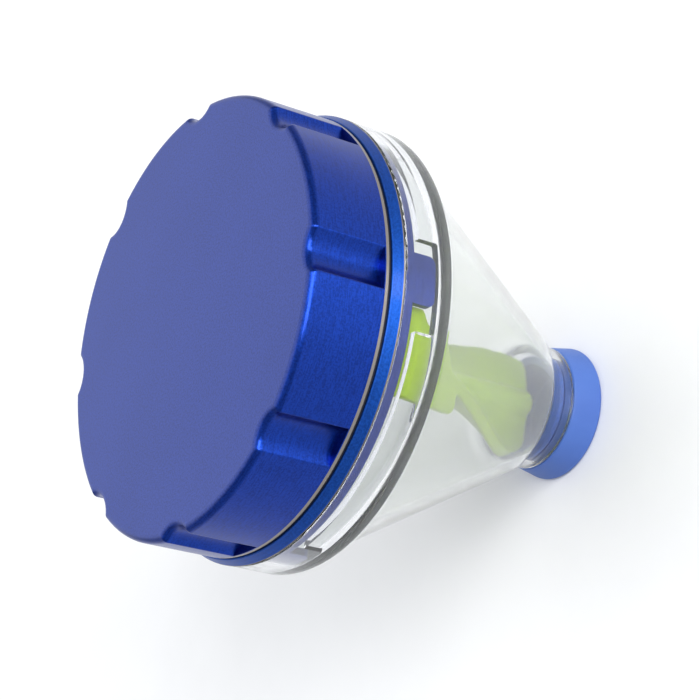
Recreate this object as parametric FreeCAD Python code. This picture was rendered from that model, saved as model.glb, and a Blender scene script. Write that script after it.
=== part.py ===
import FreeCAD, Part
import os
from math import cos, radians, sin, sqrt, tan

# Funnel pill crusher: a two-part aluminium grinder on a clear hopper with a stopper.
# Millimetres, +Z up, origin at the centre of the stopper's flat underside.
# Every piece is turned about the Z axis; one tongue and one lid flute face -Y.

V = FreeCAD.Vector
ORIGIN = V(0, 0, 0)
UP = V(0, 0, 1)
FULL_TURN = 360.0

# ---- driving dimensions -----------------------------------------------------
OVERALL_HEIGHT = 65.8
LID_DIAMETER = 63.0

LID_HEIGHT = 12.0
LID_ROOF = 2.6
LID_SKIRT_WALL = 2.9
LID_EDGE_ROUND = 1.1
FLUTE_COUNT = 8
FLUTE_WIDTH = 6.1
FLUTE_DEPTH = 1.45
FLUTE_LIP = 0.7
FLUTE_EDGE_ROUND = 0.35

GLIDE_THICKNESS = 0.25
GLIDE_INSET = 0.2

FLANGE_HEIGHT = 1.7
FLANGE_PROUD = 0.75
FLANGE_TAPER = 0.6
FLANGE_CHAMFER = 0.15
FLOOR_THICKNESS = 2.4
CHAMBER_WALL = 1.6
SPIGOT_DEPTH = 2.2
SPIGOT_WALL = 3.45

COLLAR_HEIGHT = 7.85
COLLAR_WALL = 1.65
HOPPER_LEDGE = 1.05
SPIGOT_END_GAP = 0.8
CONE_WALL = 1.8
SHOULDER_ROUND = 1.5
SHOULDER_STEP = 2.0
SHOULDER_DROP = 0.7
HOPPER_ROUND = 6.0
HOPPER_LIP = 1.1
HOPPER_FLOOR_RISE = 0.3
FILLET = 0.6

TONGUE_COUNT = 4
TONGUE_WIDTH = 6.9
TONGUE_LENGTH = 3.3
TONGUE_THICKNESS = 0.9
TONGUE_CORNER = 1.0
POCKET_ANGLE = 23.7
POCKET_END_GAP = 0.45
POCKET_TURN = 1.3

NECK_RADIUS = 9.3
NECK_BORE_RADIUS = 7.9
NECK_LENGTH = 4.5
NECK_STEP = 2.1
NECK_STEP_RISE = 0.9
STOPPER_CAP_HEIGHT = 4.7
STOPPER_FLARE = 0.9
STOPPER_BASE_ROUND = 0.6
STOPPER_WALL = 1.5
STOPPER_FLOOR = 1.8
PLUG_LENGTH = 3.1
SEAL_SECTION = 1.0

SHAFT_RADIUS = 3.0
HEX_CORNER_INSET = 0.11
SHOULDER_WIDTH = 1.4
SHOULDER_HEIGHT = 0.8
BUSH_WALL = 1.15
BUSH_FLANGE_WIDTH = 1.8
BUSH_FLANGE_HEIGHT = 0.8
MAGNET_WIDTH = 2.0
MAGNET_HEIGHT = 2.0
HUB_INNER_WALL = 0.5
HUB_OUTER_WALL = 1.0
LID_BOSS_LENGTH = 4.4
SOCKET_DEPTH = 3.6
WASHER_WIDTH = 2.5
WASHER_THICKNESS = 0.5
CLIP_THICKNESS = 0.6
CLIP_WIDTH = 1.2
CLIP_GROOVE_DEPTH = 0.6
CLIP_MOUTH = 3.4

TOOTH_LENGTH = 4.4
TOOTH_COUNTS = (6, 8, 10, 12)
TOOTH_RING_TURNS = (0.0, 0.0, 18.0, 15.0)
TOOTH_GAP = 0.8
HUB_TOOTH_GAP = 1.1
CHAMBER_CLEAR_WIDTH = 4.6
DROP_HOLE_DIAMETER = 3.6
DROP_HOLE_COUNTS = (6, 12, 16)
DROP_HOLE_EDGE = 0.8

BLADE_THICKNESS = 2.0
BLADE_WALL_GAP = 1.4
BLADE_END_GAP = 1.1
BLADE_RIM_GAP = 0.6
BLADE_BOTTOM_Z = 8.15
BLADE_TIP_ROUND = 2.4
BLADE_TOP_ANGLE = -108.0
BLADE_TWIST = 79.0
BLADE_TWIST_POWER = 2.75
BLADE_BEND = 10.0
BLADE_SECTIONS = 17
PADDLE_THICKNESS = 2.0
PADDLE_WIDTH = 11.8
PADDLE_LONG_SIDE = 15.5
PADDLE_SHORT_SIDE = 7.7
PADDLE_STRAIGHT = 2.7
PADDLE_CUT = 1.7
PADDLE_CORNER = 1.2
AUGER_HUB_WALL = 1.3
AUGER_HUB_HEIGHT = 9.0
AUGER_CORE_RADIUS = 2.2
AUGER_TAPER = 7.0
AUGER_NUB = 0.1

# ---- named clearances -------------------------------------------------------
SKIRT_GAP = 0.3       # lid skirt around the chamber wall
SHOULDER_GAP = 0.3    # shaft shoulder in the plate's hub
LIFT_GAP = 0.05       # flat faces that part when a piece is lifted off
SPIGOT_GAP = 0.1      # plate spigot in the hopper's collar
PLUG_GAP = 0.1        # stopper plug in the neck
SHAFT_GAP = 0.06      # shaft journal in its bush
HEX_GAP = 0.1         # shaft hexagon in the lid's socket, on each flat
END_GAP = 0.4         # tops and ends that must not touch
TOOTH_END_GAP = 0.6
EDGE_BREAK = 0.3

# ---- levels and radii worked out from them -----------------------------------
LID_RADIUS = LID_DIAMETER / 2
LID_TOP = OVERALL_HEIGHT
LID_BOTTOM = LID_TOP - LID_HEIGHT
LIP_TOP = LID_BOTTOM + FLUTE_LIP
ROOF_UNDERSIDE = LID_TOP - LID_ROOF
SKIRT_RADIUS = LID_RADIUS - LID_SKIRT_WALL

FLANGE_TOP = LID_BOTTOM - LIFT_GAP - GLIDE_THICKNESS
FLANGE_BOTTOM = FLANGE_TOP - FLANGE_HEIGHT
FLANGE_RADIUS = LID_RADIUS + FLANGE_PROUD
FLOOR_BOTTOM = FLANGE_TOP - FLOOR_THICKNESS
CHAMBER_OUTER_RADIUS = SKIRT_RADIUS - SKIRT_GAP
CHAMBER_RADIUS = CHAMBER_OUTER_RADIUS - CHAMBER_WALL
CHAMBER_TOP = ROOF_UNDERSIDE - END_GAP

COLLAR_TOP = FLANGE_BOTTOM - LIFT_GAP
COLLAR_RADIUS = FLANGE_RADIUS
COLLAR_BORE_RADIUS = COLLAR_RADIUS - COLLAR_WALL
SPIGOT_RADIUS = COLLAR_BORE_RADIUS - SPIGOT_GAP
SPIGOT_INNER_RADIUS = SPIGOT_RADIUS - SPIGOT_WALL
SPIGOT_BOTTOM = FLANGE_BOTTOM - SPIGOT_DEPTH
LEDGE_Z = SPIGOT_BOTTOM - SPIGOT_END_GAP
HOPPER_RADIUS = COLLAR_BORE_RADIUS - HOPPER_LEDGE
TONGUE_BOTTOM = SPIGOT_BOTTOM - TONGUE_LENGTH
POCKET_BOTTOM = TONGUE_BOTTOM - POCKET_END_GAP
TONGUE_ANGLES = [-90.0 + FULL_TURN / TONGUE_COUNT * i for i in range(TONGUE_COUNT)]

NECK_BOTTOM = STOPPER_CAP_HEIGHT + LIFT_GAP
CONE_BOTTOM = NECK_BOTTOM + NECK_LENGTH
CONE_TOP = COLLAR_TOP - COLLAR_HEIGHT
CONE_START_Z = CONE_TOP - SHOULDER_DROP
CONE_START_RADIUS = COLLAR_RADIUS - SHOULDER_STEP
CONE_END_Z = CONE_BOTTOM + NECK_STEP_RISE
CONE_END_RADIUS = NECK_RADIUS + NECK_STEP
CONE_SLOPE = (CONE_START_RADIUS - CONE_END_RADIUS) / (CONE_START_Z - CONE_END_Z)
CONE_WALL_ACROSS = CONE_WALL * sqrt(1 + CONE_SLOPE ** 2)
HOPPER_FLOOR_Z = CONE_END_Z + HOPPER_FLOOR_RISE
STOPPER_BASE_RADIUS = NECK_RADIUS + STOPPER_FLARE
PLUG_RADIUS = NECK_BORE_RADIUS - PLUG_GAP
PLUG_TOP = STOPPER_CAP_HEIGHT + PLUG_LENGTH

BOSS_BOTTOM = ROOF_UNDERSIDE - LID_BOSS_LENGTH
HUB_TOP = BOSS_BOTTOM - END_GAP
SOCKET_TOP = BOSS_BOTTOM + SOCKET_DEPTH
SHOULDER_TOP = HUB_TOP - EDGE_BREAK / 2
SHOULDER_BOTTOM = SHOULDER_TOP - SHOULDER_HEIGHT
BUSH_TOP = SHOULDER_BOTTOM - LIFT_GAP
BUSH_BORE_RADIUS = SHAFT_RADIUS + SHAFT_GAP
BUSH_RADIUS = BUSH_BORE_RADIUS + BUSH_WALL
BUSH_FLANGE_RADIUS = BUSH_RADIUS + BUSH_FLANGE_WIDTH
BUSH_BOTTOM = FLOOR_BOTTOM - BUSH_FLANGE_HEIGHT
SHAFT_HEX_CORNER = SHAFT_RADIUS - HEX_CORNER_INSET
SHAFT_HEX_FLATS = SHAFT_HEX_CORNER * sqrt(3)
SHOULDER_RADIUS = SHAFT_RADIUS + SHOULDER_WIDTH
HUB_POCKET_RADIUS = SHOULDER_RADIUS + SHOULDER_GAP
MAGNET_INNER_RADIUS = HUB_POCKET_RADIUS + HUB_INNER_WALL
MAGNET_OUTER_RADIUS = MAGNET_INNER_RADIUS + MAGNET_WIDTH
HUB_RADIUS = MAGNET_OUTER_RADIUS + HUB_OUTER_WALL
WASHER_TOP = BUSH_BOTTOM - LIFT_GAP
CLIP_TOP = WASHER_TOP - WASHER_THICKNESS
AUGER_TOP = CLIP_TOP - CLIP_THICKNESS
AUGER_SOCKET_BOTTOM = AUGER_TOP - AUGER_HUB_HEIGHT + BLADE_THICKNESS / 2
AUGER_HUB_RADIUS = SHAFT_HEX_CORNER + AUGER_HUB_WALL
BLADE_TOP = SPIGOT_BOTTOM - END_GAP

TEETH_INNER_RADIUS = HUB_RADIUS + HUB_TOOTH_GAP
TEETH_OUTER_RADIUS = CHAMBER_RADIUS - CHAMBER_CLEAR_WIDTH
TOOTH_RINGS = len(TOOTH_COUNTS)
TOOTH_PITCH = (TEETH_OUTER_RADIUS - TEETH_INNER_RADIUS + TOOTH_GAP) / TOOTH_RINGS
TOOTH_RADIAL = TOOTH_PITCH - TOOTH_GAP
TOOTH_RADII = [TEETH_INNER_RADIUS + TOOTH_RADIAL / 2 + TOOTH_PITCH * i for i in range(TOOTH_RINGS)]
DROP_HOLE_RADII = (TOOTH_RADII[0], TOOTH_RADII[2],
                   SPIGOT_INNER_RADIUS - DROP_HOLE_EDGE - DROP_HOLE_DIAMETER / 2)


def cone_bore(z):
    """Radius of the hopper's conical inside at height z."""
    return CONE_END_RADIUS - CONE_WALL_ACROSS + (z - CONE_END_Z) * CONE_SLOPE


def cone_bore_height(radius):
    """Height at which the hopper's conical inside has this radius."""
    return CONE_END_Z + (radius + CONE_WALL_ACROSS - CONE_END_RADIUS) / CONE_SLOPE


# ---- shapes -------------------------------------------------------------------
def outline(corners):
    """Face in the XZ plane through corners (x, z) or (x, z, radius of the round)."""
    edges = []
    starts = []
    ends = []
    arcs = []
    count = len(corners)
    for i, corner in enumerate(corners):
        here = V(corner[0], 0, corner[1])
        radius = corner[2] if len(corner) > 2 else 0.0
        before = corners[i - 1]
        after = corners[(i + 1) % count]
        back = (V(before[0], 0, before[1]) - here).normalize()
        ahead = (V(after[0], 0, after[1]) - here).normalize()
        if radius == 0.0:
            starts.append(here)
            ends.append(here)
            arcs.append(None)
            continue
        half = back.getAngle(ahead) / 2
        reach = radius / tan(half)
        middle = (back + ahead).normalize()
        starts.append(here + back * reach)
        ends.append(here + ahead * reach)
        arcs.append(here + middle * (radius / sin(half) - radius))
    for i in range(count):
        if arcs[i] is not None:
            edges.append(Part.Arc(starts[i], arcs[i], ends[i]).toShape())
        following = starts[(i + 1) % count]
        if ends[i].distanceToPoint(following) > 1e-6:
            edges.append(Part.LineSegment(ends[i], following).toShape())
    return Part.Face(Part.Wire(edges))


def turned(corners):
    """Solid of revolution about Z from an outline of (radius, z[, round])."""
    return outline(corners).revolve(ORIGIN, UP, FULL_TURN)


def turned_about_z(shape, angle):
    """Copy of a shape turned about the Z axis."""
    copy = shape.copy()
    copy.rotate(ORIGIN, UP, angle)
    return copy


def ring(inner, outer, bottom, top, edge=0.0):
    """Plain ring with its edges broken by a small round."""
    return turned([(inner, bottom, edge), (outer, bottom, edge), (outer, top, edge), (inner, top, edge)])


def wall_patch(inner, outer, corners, angle):
    """Part of a ring wall whose outline, seen from outside, is (across, z[, round])."""
    bottom = min(corner[1] for corner in corners) - 1
    top = max(corner[1] for corner in corners) + 1
    prism = outline(corners).extrude(V(0, -2 * outer, 0))
    return ring(inner, outer, bottom, top).common(turned_about_z(prism, angle + 90))


def hexagon(flats, bottom, top):
    """Hexagonal bar across the given flats, with two flats facing X."""
    corner = flats / sqrt(3)
    points = [V(corner * cos(radians(a)), corner * sin(radians(a)), bottom) for a in range(30, 391, 60)]
    return Part.Face(Part.makePolygon(points)).extrude(UP * (top - bottom))


def tooth_ring(index, bottom, top):
    """Ring of upright kite-shaped cutting teeth; rings are numbered from the hub outwards."""
    radius = TOOTH_RADII[index]
    count = TOOTH_COUNTS[index]
    half_radial = TOOTH_RADIAL / 2
    half_length = TOOTH_LENGTH / 2
    points = [V(radius - half_radial, 0, bottom), V(radius, -half_length, bottom),
              V(radius + half_radial, 0, bottom), V(radius, half_length, bottom),
              V(radius - half_radial, 0, bottom)]
    tooth = Part.Face(Part.makePolygon(points)).extrude(UP * (top - bottom))
    tooth = tooth.common(ring(radius - half_radial, radius + half_radial, bottom, top))
    turn = TOOTH_RING_TURNS[index]
    return [turned_about_z(tooth, turn + FULL_TURN / count * i) for i in range(count)]


def joined(first, others):
    """One solid from touching pieces, without the seams between them."""
    return first.multiFuse(others).removeSplitter()


def save(shape, name):
    """Write one piece as a solid to its own file."""
    solid = shape.Solids[0]
    assert len(shape.Solids) == 1, name
    assert solid.isValid() and solid.Volume > 0, name
    solid.exportStep("parts/" + name + ".step")


# ---- lid ----------------------------------------------------------------------
def grip_block():
    """Solid top of the lid with its flutes, their edges and the rim rounded."""
    flute_radius = (FLUTE_WIDTH ** 2 / 4 + FLUTE_DEPTH ** 2) / (2 * FLUTE_DEPTH)
    flute_centre = LID_RADIUS - FLUTE_DEPTH + flute_radius
    flute = Part.makeCylinder(flute_radius, LID_HEIGHT, V(flute_centre, 0, LIP_TOP))
    flutes = [turned_about_z(flute, -90 + FULL_TURN / FLUTE_COUNT * i) for i in range(FLUTE_COUNT)]
    block = Part.makeCylinder(LID_RADIUS, LID_TOP - LIP_TOP, V(0, 0, LIP_TOP)).cut(flutes)
    upright = [edge for edge in block.Edges if edge.BoundBox.ZLength > LID_HEIGHT / 2]
    block = block.makeFillet(FLUTE_EDGE_ROUND, upright)
    rim = [edge for edge in block.Edges if edge.BoundBox.ZMin > LID_TOP - EDGE_BREAK]
    return block.makeFillet(LID_EDGE_ROUND, rim)


def lid_shell():
    """Cup-shaped lid: fluted grip, plain lip, boss with magnet pocket and socket, teeth."""
    hollow = ring(0.0, SKIRT_RADIUS, LID_BOTTOM, ROOF_UNDERSIDE)
    lip = turned([
        (SKIRT_RADIUS, LID_BOTTOM, EDGE_BREAK), (LID_RADIUS, LID_BOTTOM, EDGE_BREAK / 2),
        (LID_RADIUS, LIP_TOP), (SKIRT_RADIUS, LIP_TOP)])
    boss = ring(0.0, HUB_RADIUS, BOSS_BOTTOM, ROOF_UNDERSIDE)
    teeth = tooth_ring(0, FLANGE_TOP + TOOTH_END_GAP, ROOF_UNDERSIDE)
    teeth += tooth_ring(2, FLANGE_TOP + TOOTH_END_GAP, ROOF_UNDERSIDE)
    shell = joined(grip_block().cut(hollow), [lip, boss] + teeth)
    pocket = ring(MAGNET_INNER_RADIUS, MAGNET_OUTER_RADIUS, BOSS_BOTTOM, BOSS_BOTTOM + MAGNET_HEIGHT)
    socket = hexagon(SHAFT_HEX_FLATS + 2 * HEX_GAP, BOSS_BOTTOM, SOCKET_TOP)
    return shell.cut([pocket, socket])


def lid_magnet():
    """Ring magnet pressed into the lid's boss."""
    return ring(MAGNET_INNER_RADIUS, MAGNET_OUTER_RADIUS, BOSS_BOTTOM, BOSS_BOTTOM + MAGNET_HEIGHT)


# ---- grinding head ------------------------------------------------------------
def grinding_plate():
    """Chamber floor with teeth and drop holes, outer flange, spigot and tongues."""
    plate = turned([
        (BUSH_RADIUS, FLOOR_BOTTOM), (SPIGOT_INNER_RADIUS, FLOOR_BOTTOM),
        (SPIGOT_INNER_RADIUS, SPIGOT_BOTTOM), (SPIGOT_RADIUS, SPIGOT_BOTTOM, EDGE_BREAK / 2),
        (SPIGOT_RADIUS, FLANGE_BOTTOM), (FLANGE_RADIUS - FLANGE_CHAMFER, FLANGE_BOTTOM),
        (FLANGE_RADIUS, FLANGE_BOTTOM + FLANGE_CHAMFER),
        (FLANGE_RADIUS - FLANGE_TAPER, FLANGE_TOP, EDGE_BREAK / 2),
        (CHAMBER_OUTER_RADIUS, FLANGE_TOP), (CHAMBER_OUTER_RADIUS, CHAMBER_TOP, EDGE_BREAK),
        (CHAMBER_RADIUS, CHAMBER_TOP, EDGE_BREAK), (CHAMBER_RADIUS, FLANGE_TOP),
        (HUB_RADIUS, FLANGE_TOP), (HUB_RADIUS, HUB_TOP, EDGE_BREAK),
        (MAGNET_OUTER_RADIUS, HUB_TOP), (MAGNET_OUTER_RADIUS, HUB_TOP - MAGNET_HEIGHT),
        (MAGNET_INNER_RADIUS, HUB_TOP - MAGNET_HEIGHT), (MAGNET_INNER_RADIUS, HUB_TOP),
        (HUB_POCKET_RADIUS, HUB_TOP), (HUB_POCKET_RADIUS, BUSH_TOP),
        (BUSH_RADIUS, BUSH_TOP)])
    half = TONGUE_WIDTH / 2
    tongue = [(-half, TONGUE_BOTTOM, TONGUE_CORNER), (half, TONGUE_BOTTOM, TONGUE_CORNER),
              (half, SPIGOT_BOTTOM + EDGE_BREAK), (-half, SPIGOT_BOTTOM + EDGE_BREAK)]
    tongue_inner = SPIGOT_RADIUS - TONGUE_THICKNESS
    additions = [wall_patch(tongue_inner, SPIGOT_RADIUS, tongue, angle) for angle in TONGUE_ANGLES]
    additions += tooth_ring(1, FLANGE_TOP, ROOF_UNDERSIDE - TOOTH_END_GAP)
    additions += tooth_ring(3, FLANGE_TOP, ROOF_UNDERSIDE - TOOTH_END_GAP)
    holes = []
    for radius, count in zip(DROP_HOLE_RADII, DROP_HOLE_COUNTS):
        hole = Part.makeCylinder(DROP_HOLE_DIAMETER / 2, 2 * FLOOR_THICKNESS,
                                 V(radius, 0, FLOOR_BOTTOM - FLOOR_THICKNESS / 2))
        holes += [turned_about_z(hole, FULL_TURN / count * (i + 0.5)) for i in range(count)]
    return joined(plate.cut(holes), additions)


def plate_magnet():
    """Ring magnet pressed into the top of the plate's hub."""
    return ring(MAGNET_INNER_RADIUS, MAGNET_OUTER_RADIUS, HUB_TOP - MAGNET_HEIGHT, HUB_TOP)


def shaft_bush():
    """Flanged nylon bush pressed up through the plate's hub."""
    return turned([
        (BUSH_BORE_RADIUS, BUSH_BOTTOM), (BUSH_FLANGE_RADIUS, BUSH_BOTTOM, EDGE_BREAK),
        (BUSH_FLANGE_RADIUS, FLOOR_BOTTOM), (BUSH_RADIUS, FLOOR_BOTTOM),
        (BUSH_RADIUS, BUSH_TOP), (BUSH_BORE_RADIUS, BUSH_TOP)])


def glide_ring():
    """Thin nylon ring on the flange that the lid's rim slides on."""
    return ring(CHAMBER_OUTER_RADIUS, LID_RADIUS - GLIDE_INSET, FLANGE_TOP, FLANGE_TOP + GLIDE_THICKNESS)


# ---- drive --------------------------------------------------------------------
def drive_shaft():
    """Stepped shaft: hexagon into the lid, shoulder, journal, clip groove, lower hexagon."""
    groove_radius = SHAFT_RADIUS - CLIP_GROOVE_DEPTH
    body = turned([
        (0, AUGER_TOP), (groove_radius, AUGER_TOP), (groove_radius, CLIP_TOP),
        (SHAFT_RADIUS, CLIP_TOP), (SHAFT_RADIUS, SHOULDER_BOTTOM),
        (SHOULDER_RADIUS, SHOULDER_BOTTOM), (SHOULDER_RADIUS, SHOULDER_TOP, EDGE_BREAK / 2),
        (0, SHOULDER_TOP)])
    upper = hexagon(SHAFT_HEX_FLATS, SHOULDER_TOP, SOCKET_TOP - EDGE_BREAK)
    lower = hexagon(SHAFT_HEX_FLATS, AUGER_SOCKET_BOTTOM, AUGER_TOP)
    return joined(body, [upper, lower])


def thrust_washer():
    """Washer between the bush's flange and the retaining clip."""
    return ring(SHAFT_RADIUS, SHAFT_RADIUS + WASHER_WIDTH, CLIP_TOP, WASHER_TOP)


def retaining_clip():
    """Open clip in the shaft's groove."""
    groove_radius = SHAFT_RADIUS - CLIP_GROOVE_DEPTH
    clip_radius = SHAFT_RADIUS + CLIP_WIDTH
    clip = ring(groove_radius, clip_radius, AUGER_TOP, CLIP_TOP)
    mouth = Part.makeBox(clip_radius, CLIP_MOUTH, CLIP_THICKNESS, V(0, -CLIP_MOUTH / 2, AUGER_TOP))
    return clip.cut(mouth)


def blade_angle(z):
    """Direction of the blades at height z; the twist tightens towards the tip."""
    share = (FLANGE_BOTTOM - z) / (FLANGE_BOTTOM - BLADE_BOTTOM_Z)
    return BLADE_TOP_ANGLE - BLADE_TWIST * share ** BLADE_TWIST_POWER


def blade_envelope(gap, tip_round):
    """Solid of revolution that the rim of the blades follows, this far from the hopper."""
    rim_radius = HOPPER_RADIUS - BLADE_RIM_GAP - gap
    end_radius = NECK_BORE_RADIUS - BLADE_END_GAP - gap
    return turned([
        (0, BLADE_BOTTOM_Z), (end_radius, BLADE_BOTTOM_Z, tip_round),
        (rim_radius, cone_bore_height(rim_radius + BLADE_WALL_GAP + gap)),
        (rim_radius, BLADE_TOP), (0, BLADE_TOP)])


def blade_ribbon():
    """Twisted strip through the axis, bent there, and wider than the hopper."""
    half = BLADE_THICKNESS / 2
    reach = COLLAR_RADIUS
    bend = radians(BLADE_BEND)
    away = V(-cos(bend), -sin(bend), 0) * reach
    across = V(-sin(bend), cos(bend), 0) * half
    elbow = half * tan(bend / 2)
    corners = [V(reach, -half, 0), V(reach, half, 0), V(-elbow, half, 0), away + across,
               away - across, V(elbow, -half, 0), V(reach, -half, 0)]
    sections = []
    for i in range(BLADE_SECTIONS):
        z = BLADE_BOTTOM_Z - 1 + (BLADE_TOP - BLADE_BOTTOM_Z + 2) * i / (BLADE_SECTIONS - 1)
        section = Part.makePolygon([corner + UP * z for corner in corners])
        sections.append(turned_about_z(section, blade_angle(z)))
    return Part.makeLoft(sections, True, False)


def paddle(side):
    """Wide fin at the top of a blade, lying along the hopper wall, with one side cut back."""
    half = PADDLE_WIDTH / 2
    cut_half = half - PADDLE_CUT
    corners = [(-half, BLADE_TOP), (half, BLADE_TOP),
               (half, BLADE_TOP - PADDLE_STRAIGHT, PADDLE_CORNER),
               (cut_half, BLADE_TOP - PADDLE_STRAIGHT - PADDLE_CUT, PADDLE_CORNER),
               (cut_half, BLADE_TOP - PADDLE_SHORT_SIDE, PADDLE_CORNER / 2),
               (-half, BLADE_TOP - PADDLE_LONG_SIDE, PADDLE_CORNER)]
    fin = outline(corners).extrude(V(0, -2 * COLLAR_RADIUS, 0))
    wall = blade_envelope(0.0, BLADE_TIP_ROUND).cut(blade_envelope(PADDLE_THICKNESS, 0.0))
    return wall.common(turned_about_z(fin, BLADE_TOP_ANGLE + 90 + side))


def auger():
    """Moulded two-bladed auger with paddles at the top and a hexagon socket in its hub."""
    blades = blade_ribbon().common(blade_envelope(0.0, BLADE_TIP_ROUND))
    hub_bottom = AUGER_TOP - AUGER_HUB_HEIGHT
    core = turned([
        (0, BLADE_BOTTOM_Z - AUGER_NUB), (AUGER_CORE_RADIUS, BLADE_BOTTOM_Z - AUGER_NUB, EDGE_BREAK),
        (AUGER_CORE_RADIUS, hub_bottom - AUGER_TAPER), (AUGER_HUB_RADIUS, hub_bottom),
        (AUGER_HUB_RADIUS, AUGER_TOP), (0, AUGER_TOP)])
    body = joined(blades, [core, paddle(0.0), paddle(180.0 + BLADE_BEND)])
    clear = ring(0.0, AUGER_HUB_RADIUS + EDGE_BREAK, AUGER_TOP, BLADE_TOP + EDGE_BREAK)
    return body.cut([hexagon(SHAFT_HEX_FLATS, AUGER_SOCKET_BOTTOM, AUGER_TOP), clear])


# ---- hopper and stopper ---------------------------------------------------------
def funnel():
    """Clear hopper: collar with tongue pockets, conical wall, open neck."""
    shell = turned([
        (NECK_BORE_RADIUS, NECK_BOTTOM, EDGE_BREAK), (NECK_RADIUS, NECK_BOTTOM, EDGE_BREAK),
        (NECK_RADIUS, CONE_BOTTOM, FILLET), (CONE_END_RADIUS, CONE_END_Z, FILLET),
        (CONE_START_RADIUS, CONE_START_Z, FILLET), (COLLAR_RADIUS, CONE_TOP, SHOULDER_ROUND),
        (COLLAR_RADIUS, COLLAR_TOP, EDGE_BREAK), (COLLAR_BORE_RADIUS, COLLAR_TOP, EDGE_BREAK),
        (COLLAR_BORE_RADIUS, LEDGE_Z), (HOPPER_RADIUS, LEDGE_Z, EDGE_BREAK / 2),
        (HOPPER_RADIUS, cone_bore_height(HOPPER_RADIUS), HOPPER_ROUND),
        (cone_bore(HOPPER_FLOOR_Z), HOPPER_FLOOR_Z, FILLET),
        (NECK_BORE_RADIUS, HOPPER_FLOOR_Z - HOPPER_LIP, FILLET)])
    half = COLLAR_BORE_RADIUS * sin(radians(POCKET_ANGLE / 2))
    pocket = [(-half, POCKET_BOTTOM, EDGE_BREAK), (half, POCKET_BOTTOM, EDGE_BREAK),
              (half, COLLAR_TOP), (-half, COLLAR_TOP)]
    pockets = [wall_patch(HOPPER_RADIUS - EDGE_BREAK, COLLAR_BORE_RADIUS, pocket, angle - POCKET_TURN)
               for angle in TONGUE_ANGLES]
    return shell.cut(pockets)


def stopper():
    """Cup-shaped stopper: flared cap to stand on and a hollow plug with a seal groove."""
    groove_radius = PLUG_RADIUS - SEAL_SECTION
    groove_top = STOPPER_CAP_HEIGHT + (PLUG_LENGTH + SEAL_SECTION) / 2
    return turned([
        (0, 0), (STOPPER_BASE_RADIUS, 0, STOPPER_BASE_ROUND),
        (NECK_RADIUS, STOPPER_CAP_HEIGHT, EDGE_BREAK), (PLUG_RADIUS, STOPPER_CAP_HEIGHT),
        (PLUG_RADIUS, groove_top - SEAL_SECTION), (groove_radius, groove_top - SEAL_SECTION),
        (groove_radius, groove_top), (PLUG_RADIUS, groove_top), (PLUG_RADIUS, PLUG_TOP, EDGE_BREAK),
        (PLUG_RADIUS - STOPPER_WALL, PLUG_TOP, EDGE_BREAK),
        (PLUG_RADIUS - STOPPER_WALL, STOPPER_FLOOR), (0, STOPPER_FLOOR)])


def stopper_seal():
    """Round-section silicone ring in the plug's groove."""
    middle = STOPPER_CAP_HEIGHT + PLUG_LENGTH / 2
    half = SEAL_SECTION / 2
    return Part.makeTorus(PLUG_RADIUS - half, half, V(0, 0, middle), UP)


PIECES = (
    lid_shell, lid_magnet, glide_ring, grinding_plate, plate_magnet, shaft_bush, drive_shaft,
    thrust_washer, retaining_clip, auger, funnel, stopper, stopper_seal)

os.makedirs("parts", exist_ok=True)
for piece in PIECES:
    save(piece(), piece.__name__)
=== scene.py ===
import math

import bmesh
import bpy
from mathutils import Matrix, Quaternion, Vector


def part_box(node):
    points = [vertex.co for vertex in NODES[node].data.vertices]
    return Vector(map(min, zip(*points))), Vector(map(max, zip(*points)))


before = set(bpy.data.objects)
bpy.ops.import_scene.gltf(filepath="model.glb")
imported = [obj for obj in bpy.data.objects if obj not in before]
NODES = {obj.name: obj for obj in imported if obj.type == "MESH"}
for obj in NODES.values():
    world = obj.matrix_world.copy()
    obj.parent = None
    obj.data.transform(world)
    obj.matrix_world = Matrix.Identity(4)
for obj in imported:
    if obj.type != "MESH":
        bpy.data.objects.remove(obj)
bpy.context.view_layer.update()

# Looks of the funnel pill crusher. Metres, in the CAD frame: +Z up, the stopper stands on z = 0.
MM = 0.001
SCENE = bpy.context.scene

# ---- levels taken from the frame ------------------------------------------------
LID_LOW, LID_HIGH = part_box("lid_shell")
PLATE_LOW, PLATE_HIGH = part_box("grinding_plate")
FUNNEL_LOW, FUNNEL_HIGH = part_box("funnel")
STOPPER_LOW, STOPPER_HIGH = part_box("stopper")
LID_RADIUS = LID_HIGH.x
FLANGE_RADIUS = PLATE_HIGH.x
COLLAR_TOP = FUNNEL_HIGH.z
NECK_BOTTOM = FUNNEL_LOW.z

# ---- colours, linear ----------------------------------------------------------------
SIDE_BLUE = (0.006, 0.034, 0.27, 1)
FACE_BLUE = (0.040, 0.067, 0.285, 1)
PLATE_BLUE = (0.036, 0.06, 0.26, 1)
FLANGE_BLUE = (0.010, 0.07, 0.36, 1)
BARE_ALUMINIUM = (0.26, 0.235, 0.21, 1)
NICKEL = (0.72, 0.71, 0.68, 1)
TURNED_STEEL = (0.56, 0.57, 0.58, 1)
SPRING_STEEL = (0.16, 0.16, 0.17, 1)
LEAF_GREEN = (0.56, 0.81, 0.008, 1)
LEAF_GREEN_DEEP = (0.50, 0.75, 0.006, 1)
CAP_BLUE = (0.075, 0.17, 0.53, 1)
CAP_BLUE_DEEP = (0.066, 0.15, 0.49, 1)
SILICONE_BLUE = (0.09, 0.20, 0.66, 1)
NYLON_BLACK = (0.012, 0.012, 0.014, 1)
NYLON_WHITE = (0.75, 0.74, 0.68, 1)
CLEAR_POLISHED = (0.915, 0.925, 0.945, 1)
CLEAR_HAZY = (0.955, 0.97, 0.96, 1)
CLEAR_MIRRORED = (0.3, 0.33, 0.4, 1)
SKY = (0.92, 0.95, 1.0, 1)

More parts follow.
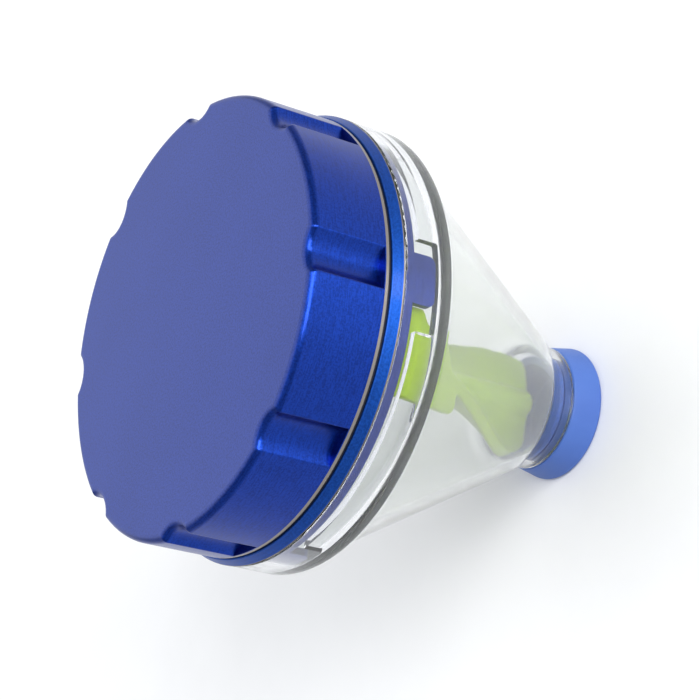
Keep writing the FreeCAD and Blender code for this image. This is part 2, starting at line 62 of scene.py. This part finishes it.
# ---- noise scales, per metre --------------------------------------------------------
FACE_RINGS = 15000.0
SIDE_LINES = 6500.0
STEEL_LINES = 4000.0
BLASTED_GRAIN = 3600.0
MOULDED_GRAIN = 4200.0
NYLON_GRAIN = 2400.0
CLEAR_SPECKS = 2600.0
STEEL_CLOUDS = 350.0
MOULDED_FLOW = 130.0
CLEAR_FLOW = 90.0
DYE_CLOUDS = 55.0
FLOOR_CLOUDS = 40.0

# most of a noise's values lie between these two
NOISE_LOW = 0.3
NOISE_HIGH = 0.7

# ---- where the looks change along the axis ------------------------------------------
FACE_START = LID_HIGH.z - 0.25 * MM
FACE_FULL = LID_HIGH.z - 0.05 * MM
FLANGE_START = COLLAR_TOP - 0.1 * MM
HAZE_FULL_BELOW = COLLAR_TOP - 9.5 * MM
HAZE_NONE_ABOVE = COLLAR_TOP - 7.5 * MM
HAZE_NONE_BELOW = NECK_BOTTOM + 3.0 * MM
HAZE_FULL_ABOVE = NECK_BOTTOM + 7.0 * MM

# bare turned edges: lowest height, highest height and smallest radius
LID_LIP = (LID_LOW.z - 0.1 * MM, LID_LOW.z + 0.55 * MM, LID_RADIUS - 0.5 * MM)
FLANGE_RIM = (COLLAR_TOP, COLLAR_TOP + 0.3 * MM, FLANGE_RADIUS - 0.6 * MM)

# ---- refractive indices -------------------------------------------------------------
PLASTIC_IOR = 1.49
COAT_IOR = 1.5

# ---- edges of the auger, rounded ----------------------------------------------------
WELD_DISTANCE = 0.002 * MM
AUGER_VOXEL = 0.32 * MM
AUGER_SMOOTH_ROUNDS = 3
SMOOTH_SHARE = 0.5

# ---- stage: name, azimuth and elevation (degrees), distance and side (m), power (W) --
SOFTBOXES = [("key", -88.0, 34.0, 0.75, 0.4, 4.2),
             ("top", -40.0, 82.0, 0.9, 1.0, 2.6),
             ("back", 66.0, 33.0, 0.9, 1.0, 2.6),
             ("strip", -76.0, 9.0, 0.6, 0.12, 0.5)]
SKY_STRENGTH = 0.54
FLOOR_HALF_SIDE = 2.5
FLOOR_GAP = 0.02 * MM

# ---- camera: place from the lid's top, angles in degrees, lens and sensor in mm -------
CAMERA_FROM_LID = Vector((-116.36, -265.86, 150.39)) * MM
CAMERA_AZIMUTH = 23.889
CAMERA_TILT = 31.425
CAMERA_ROLL = 75.117
CAMERA_LENS = 122.49
CAMERA_NEAREST = 0.01
SENSOR = 36.0


# ---- small node-tree helpers ------------------------------------------------------
def shader(tree, kind, inputs=None, **settings):
    """New shader node; inputs are values or sockets, settings are the node's own fields."""
    made = tree.nodes.new("ShaderNode" + kind)
    for key, value in settings.items():
        setattr(made, key, value)
    for key, value in (inputs or {}).items():
        if isinstance(value, bpy.types.NodeSocket):
            tree.links.new(value, made.inputs[key])
        else:
            made.inputs[key].default_value = value
    return made


def math_node(tree, operation, first, second=0.0, third=0.0):
    """One arithmetic step."""
    made = shader(tree, "Math", {0: first, 1: second, 2: third}, operation=operation)
    return made.outputs[0]


def ramp(tree, value, low, high, from_value=0.0, to_value=1.0):
    """Smooth step of a value from one level to another."""
    made = shader(tree, "MapRange", {"Value": value, "From Min": low, "From Max": high,
                                     "To Min": from_value, "To Max": to_value},
                  interpolation_type="SMOOTHSTEP")
    return made.outputs["Result"]


def mix_colour(tree, share, first, second, mode="MIX"):
    """Blend of two colours."""
    made = shader(tree, "Mix", {"Factor": share}, data_type="RGBA", blend_type=mode)
    for socket, value in ((made.inputs[6], first), (made.inputs[7], second)):
        if isinstance(value, bpy.types.NodeSocket):
            tree.links.new(value, socket)
        else:
            socket.default_value = value
    return made.outputs[2]


def blank(name):
    """Empty material with a principled shader and its tree."""
    material = bpy.data.materials.new(name)
    material.use_nodes = True
    tree = material.node_tree
    tree.nodes.clear()
    surface = tree.nodes.new("ShaderNodeBsdfPrincipled")
    output = tree.nodes.new("ShaderNodeOutputMaterial")
    tree.links.new(surface.outputs[0], output.inputs["Surface"])
    return material, tree, surface


def object_point(tree):
    """Object coordinates."""
    return shader(tree, "TexCoord").outputs["Object"]


def place(tree):
    """Object coordinates, and the x, y and z among them."""
    point = object_point(tree)
    x, y, z = shader(tree, "SeparateXYZ", {0: point}).outputs
    return point, x, y, z


def from_axis(tree, x, y):
    """Distance from the object's axis."""
    flat = shader(tree, "CombineXYZ", {0: x, 1: y})
    return shader(tree, "VectorMath", {0: flat.outputs[0]}, operation="LENGTH").outputs["Value"]


def noise(tree, point, scale, detail=3.0, roughness=0.6):
    """Fractal noise, about 0.5 in the middle."""
    made = shader(tree, "TexNoise", {"Vector": point, "Scale": scale, "Detail": detail,
                                     "Roughness": roughness})
    return made.outputs[0]


def spread(tree, noise_value, from_value=0.0, to_value=1.0):
    """The usual range of a noise, spread between two values."""
    return ramp(tree, noise_value, NOISE_LOW, NOISE_HIGH, from_value, to_value)


def vector(tree, x, y=0.0, z=0.0):
    """Vector from three values."""
    return shader(tree, "CombineXYZ", {0: x, 1: y, 2: z}).outputs[0]


def stretched(tree, x, y, z, across, along):
    """Vector with one scale across the axis and another along it."""
    return vector(tree, math_node(tree, "MULTIPLY", x, across), math_node(tree, "MULTIPLY", y, across),
                  math_node(tree, "MULTIPLY", z, along))


def bump(tree, height, strength, distance):
    """Surface normal from a height."""
    made = shader(tree, "Bump", {"Height": height, "Strength": strength, "Distance": distance})
    return made.outputs[0]


def shaded(tree, colour, level):
    """Colour made lighter or darker by one level."""
    return mix_colour(tree, 1.0, colour, grey(tree, level), "MULTIPLY")


def grey(tree, level):
    """Neutral colour from one level."""
    return shader(tree, "CombineColor", {0: level, 1: level, 2: level}).outputs[0]


def wire(surface, **sockets):
    """Varying values linked to the shader's sockets; words are joined by underscores."""
    for key, socket in sockets.items():
        surface.id_data.links.new(socket, surface.inputs[key.replace("_", " ")])


def set_all(surface, **values):
    """Constants set straight on the shader's own sockets; words are joined by underscores."""
    for key, value in values.items():
        surface.inputs[key.replace("_", " ")].default_value = value


# ---- metals --------------------------------------------------------------------
def bare_mask(tree, z, radius, band):
    """1 where a turned edge shows bare metal through the anodising."""
    lowest, highest, smallest_radius = band
    above = math_node(tree, "GREATER_THAN", z, lowest)
    below = math_node(tree, "LESS_THAN", z, highest)
    outside = math_node(tree, "GREATER_THAN", radius, smallest_radius)
    return math_node(tree, "MULTIPLY", math_node(tree, "MULTIPLY", above, below), outside)


def anodised(name, lower_colour, upper_colour, upper_start, upper_full, bare_band):
    """Blue anodised aluminium turned on a lathe: lines round the axis below, finer rings and a
    duller sheen where the upper colour takes over, and bare metal in one band."""
    material, tree, surface = blank(name)
    point, x, y, z = place(tree)
    radius = from_axis(tree, x, y)
    upper = ramp(tree, z, upper_start, upper_full)
    rings = noise(tree, vector(tree, radius), FACE_RINGS, 2.0)
    lines = noise(tree, stretched(tree, x, y, z, 0.08, 1.0), SIDE_LINES, 4.0)
    turned = shader(tree, "Mix", {"Factor": upper, 2: lines, 3: rings}, data_type="FLOAT").outputs[0]
    blasted = noise(tree, point, BLASTED_GRAIN, 2.0)
    texture = math_node(tree, "ADD", math_node(tree, "MULTIPLY", turned, 0.5),
                        math_node(tree, "MULTIPLY", blasted, 0.5))
    dyed = shaded(tree, mix_colour(tree, upper, lower_colour, upper_colour),
                  ramp(tree, texture, 0.38, 0.62, 0.76, 1.24))
    clouded = shaded(tree, dyed, spread(tree, noise(tree, point, DYE_CLOUDS), 0.97, 1.03))
    bare = bare_mask(tree, z, radius, bare_band)
    rough = spread(tree, blasted, 0.29, 0.36)
    wire(surface,
         Base_Color=mix_colour(tree, bare, clouded, BARE_ALUMINIUM),
         Roughness=math_node(tree, "MULTIPLY_ADD", upper, 0.14, rough),
         Anisotropic=math_node(tree, "MULTIPLY_ADD", upper, -0.75, 0.75),
         Normal=bump(tree, texture, 0.3, 0.01 * MM),
         Tangent=shader(tree, "Tangent", direction_type="RADIAL", axis="Z").outputs[0])
    set_all(surface, Metallic=1.0, Anisotropic_Rotation=0.25, Coat_Weight=0.12, Coat_Roughness=0.15,
            Coat_IOR=COAT_IOR)
    return material


def steel(name, colour, roughness, across):
    """Turned or plated steel with fine scratches and faint clouding."""
    material, tree, surface = blank(name)
    point, x, y, z = place(tree)
    lines = noise(tree, stretched(tree, x, y, z, across, 1.0), STEEL_LINES)
    wire(surface,
         Base_Color=shaded(tree, colour, spread(tree, noise(tree, point, STEEL_CLOUDS), 0.88, 1.05)),
         Roughness=ramp(tree, lines, 0.25, 0.75, roughness - 0.06, roughness + 0.1),
         Normal=bump(tree, lines, 0.2, 0.01 * MM))
    set_all(surface, Metallic=1.0, Anisotropic=0.3)
    return material


# ---- plastics ------------------------------------------------------------------
def moulded(name, colour, deep_colour, roughness, subsurface, along):
    """Coloured moulded plastic: faint flow marks, fine texture and light inside the surface."""
    material, tree, surface = blank(name)
    point, x, y, z = place(tree)
    flow = noise(tree, stretched(tree, x, y, z, 1.0, along), MOULDED_FLOW, 4.0)
    grain = noise(tree, point, MOULDED_GRAIN, 2.0)
    wire(surface,
         Base_Color=mix_colour(tree, spread(tree, flow), deep_colour, colour),
         Roughness=spread(tree, grain, roughness - 0.05, roughness + 0.06),
         Normal=bump(tree, math_node(tree, "MULTIPLY_ADD", flow, 3.0, grain), 0.25, 0.012 * MM))
    set_all(surface, Subsurface_Weight=subsurface, Subsurface_Radius=(1.0, 1.0, 1.0),
            Subsurface_Scale=1.2 * MM, IOR=PLASTIC_IOR, Specular_IOR_Level=0.5)
    return material


def clear_plastic():
    """Clear moulding: polished collar and neck, faintly hazy cone with mould flow and tiny marks."""
    material, tree, surface = blank("clear_plastic")
    point, x, y, z = place(tree)
    below_collar = ramp(tree, z, HAZE_FULL_BELOW, HAZE_NONE_ABOVE, 1.0, 0.0)
    above_neck = ramp(tree, z, HAZE_NONE_BELOW, HAZE_FULL_ABOVE)
    cone = math_node(tree, "MULTIPLY", below_collar, above_neck)
    flow = noise(tree, stretched(tree, x, y, z, 1.0, 0.4), CLEAR_FLOW, 4.0)
    specks = noise(tree, point, CLEAR_SPECKS, 1.0)
    haze = math_node(tree, "MULTIPLY", cone, spread(tree, flow, 0.075, 0.11))
    wire(surface,
         Base_Color=mix_colour(tree, cone, CLEAR_POLISHED, CLEAR_HAZY),
         Roughness=math_node(tree, "MULTIPLY_ADD", cone, spread(tree, flow, 0.03, 0.05), 0.01),
         Transmission_Weight=math_node(tree, "SUBTRACT", 0.985, haze),
         Normal=bump(tree, math_node(tree, "MULTIPLY_ADD", flow, 6.0, specks), 0.1, 0.012 * MM))
    set_all(surface, IOR=PLASTIC_IOR, Specular_Tint=CLEAR_MIRRORED)
    return material


def rubbery(name, colour, roughness):
    """Silicone or nylon: matte with a fine even tooth."""
    material, tree, surface = blank(name)
    grain = noise(tree, object_point(tree), NYLON_GRAIN)
    wire(surface,
         Base_Color=shaded(tree, colour, spread(tree, grain, 0.85, 1.1)),
         Roughness=spread(tree, grain, roughness - 0.05, roughness + 0.08),
         Normal=bump(tree, grain, 0.3, 0.02 * MM))
    return material


# ---- finished pieces ---------------------------------------------------------------
def dress(node, material):
    """Give a CAD node one material."""
    data = NODES[node].data
    data.materials.clear()
    data.materials.append(material)


def soften(node, voxel, rounds):
    """Round the edges of a moulded piece by a fraction of a millimetre."""
    obj = NODES[node]
    weld = obj.modifiers.new("weld", "WELD")
    weld.merge_threshold = WELD_DISTANCE
    remesh = obj.modifiers.new("remesh", "REMESH")
    remesh.mode = "VOXEL"
    remesh.voxel_size = voxel
    remesh.use_smooth_shade = True
    smooth = obj.modifiers.new("smooth", "SMOOTH")
    smooth.factor = SMOOTH_SHARE
    smooth.iterations = rounds


def dress_metals():
    """Lid, plate, magnets and the steel parts."""
    nickel = steel("nickel", NICKEL, 0.22, 1.0)
    bright_steel = steel("bright_steel", TURNED_STEEL, 0.28, 0.06)
    dress("lid_shell", anodised("lid_blue", SIDE_BLUE, FACE_BLUE, FACE_START, FACE_FULL, LID_LIP))
    dress("grinding_plate", anodised("plate_blue", PLATE_BLUE, FLANGE_BLUE, FLANGE_START, COLLAR_TOP,
                                     FLANGE_RIM))
    dress("lid_magnet", nickel)
    dress("plate_magnet", nickel)
    dress("drive_shaft", bright_steel)
    dress("thrust_washer", bright_steel)
    dress("retaining_clip", steel("dark_steel", SPRING_STEEL, 0.38, 0.5))


def dress_plastics():
    """Funnel, auger, stopper and the small nylon and silicone parts."""
    dress("glide_ring", rubbery("black_nylon", NYLON_BLACK, 0.5))
    dress("shaft_bush", rubbery("white_nylon", NYLON_WHITE, 0.45))
    dress("stopper_seal", rubbery("blue_silicone", SILICONE_BLUE, 0.4))
    dress("auger", moulded("green_moulding", LEAF_GREEN, LEAF_GREEN_DEEP, 0.36, 0.2, 0.3))
    dress("stopper", moulded("blue_moulding", CAP_BLUE, CAP_BLUE_DEEP, 0.5, 0.15, 0.5))
    dress("funnel", clear_plastic())
    soften("auger", AUGER_VOXEL, AUGER_SMOOTH_ROUNDS)


# ---- stage ----------------------------------------------------------------------
def floor():
    """Plain pale sweep that the crusher stands on."""
    mesh = bpy.data.meshes.new("floor")
    shape = bmesh.new()
    bmesh.ops.create_grid(shape, x_segments=1, y_segments=1, size=FLOOR_HALF_SIDE)
    shape.to_mesh(mesh)
    shape.free()
    obj = bpy.data.objects.new("floor", mesh)
    obj.location.z = STOPPER_LOW.z - FLOOR_GAP
    SCENE.collection.objects.link(obj)
    material, tree, surface = blank("floor")
    clouds = noise(tree, object_point(tree), FLOOR_CLOUDS)
    wire(surface, Base_Color=grey(tree, spread(tree, clouds, 0.93, 0.95)))
    set_all(surface, Roughness=0.32, Specular_IOR_Level=0.35)
    mesh.materials.append(material)


def direction(azimuth, elevation):
    """Unit vector from the object: azimuth from +X towards +Y, in degrees."""
    a = math.radians(azimuth)
    e = math.radians(elevation)
    return Vector((math.cos(a) * math.cos(e), math.sin(a) * math.cos(e), math.sin(e)))


def softbox(name, azimuth, elevation, distance, side, power):
    """Square light aimed at the middle of the object."""
    data = bpy.data.lights.new(name, "AREA")
    data.size = side
    data.energy = power
    obj = bpy.data.objects.new(name, data)
    middle = Vector((0, 0, LID_HIGH.z / 2))
    obj.location = middle + direction(azimuth, elevation) * distance
    obj.rotation_euler = (middle - obj.location).to_track_quat("-Z", "Y").to_euler()
    SCENE.collection.objects.link(obj)


def lights():
    """Key over the fluted side, a broad top light, one behind that the lid's face mirrors, a low
    strip for the streak down the side, and a pale even sky."""
    for box in SOFTBOXES:
        softbox(*box)
    world = bpy.data.worlds.new("studio")
    world.use_nodes = True
    background = world.node_tree.nodes["Background"]
    background.inputs["Color"].default_value = SKY
    background.inputs["Strength"].default_value = SKY_STRENGTH
    SCENE.world = world


def camera():
    """Long lens looking down on the lid, rolled so that the object's axis lies across the frame."""
    data = bpy.data.cameras.new("camera")
    data.lens = CAMERA_LENS
    data.sensor_width = SENSOR
    data.clip_start = CAMERA_NEAREST
    obj = bpy.data.objects.new("camera", data)
    forward = direction(90.0 - CAMERA_AZIMUTH, -CAMERA_TILT)
    upright = forward.to_track_quat("-Z", "Y")
    obj.rotation_mode = "QUATERNION"
    obj.rotation_quaternion = upright @ Quaternion((0, 0, 1), -math.radians(CAMERA_ROLL))
    obj.location = Vector((0, 0, LID_HIGH.z)) + CAMERA_FROM_LID
    SCENE.collection.objects.link(obj)
    SCENE.camera = obj


camera()
floor()
lights()
dress_metals()
dress_plastics()
SCENE.view_settings.view_transform = "Standard"
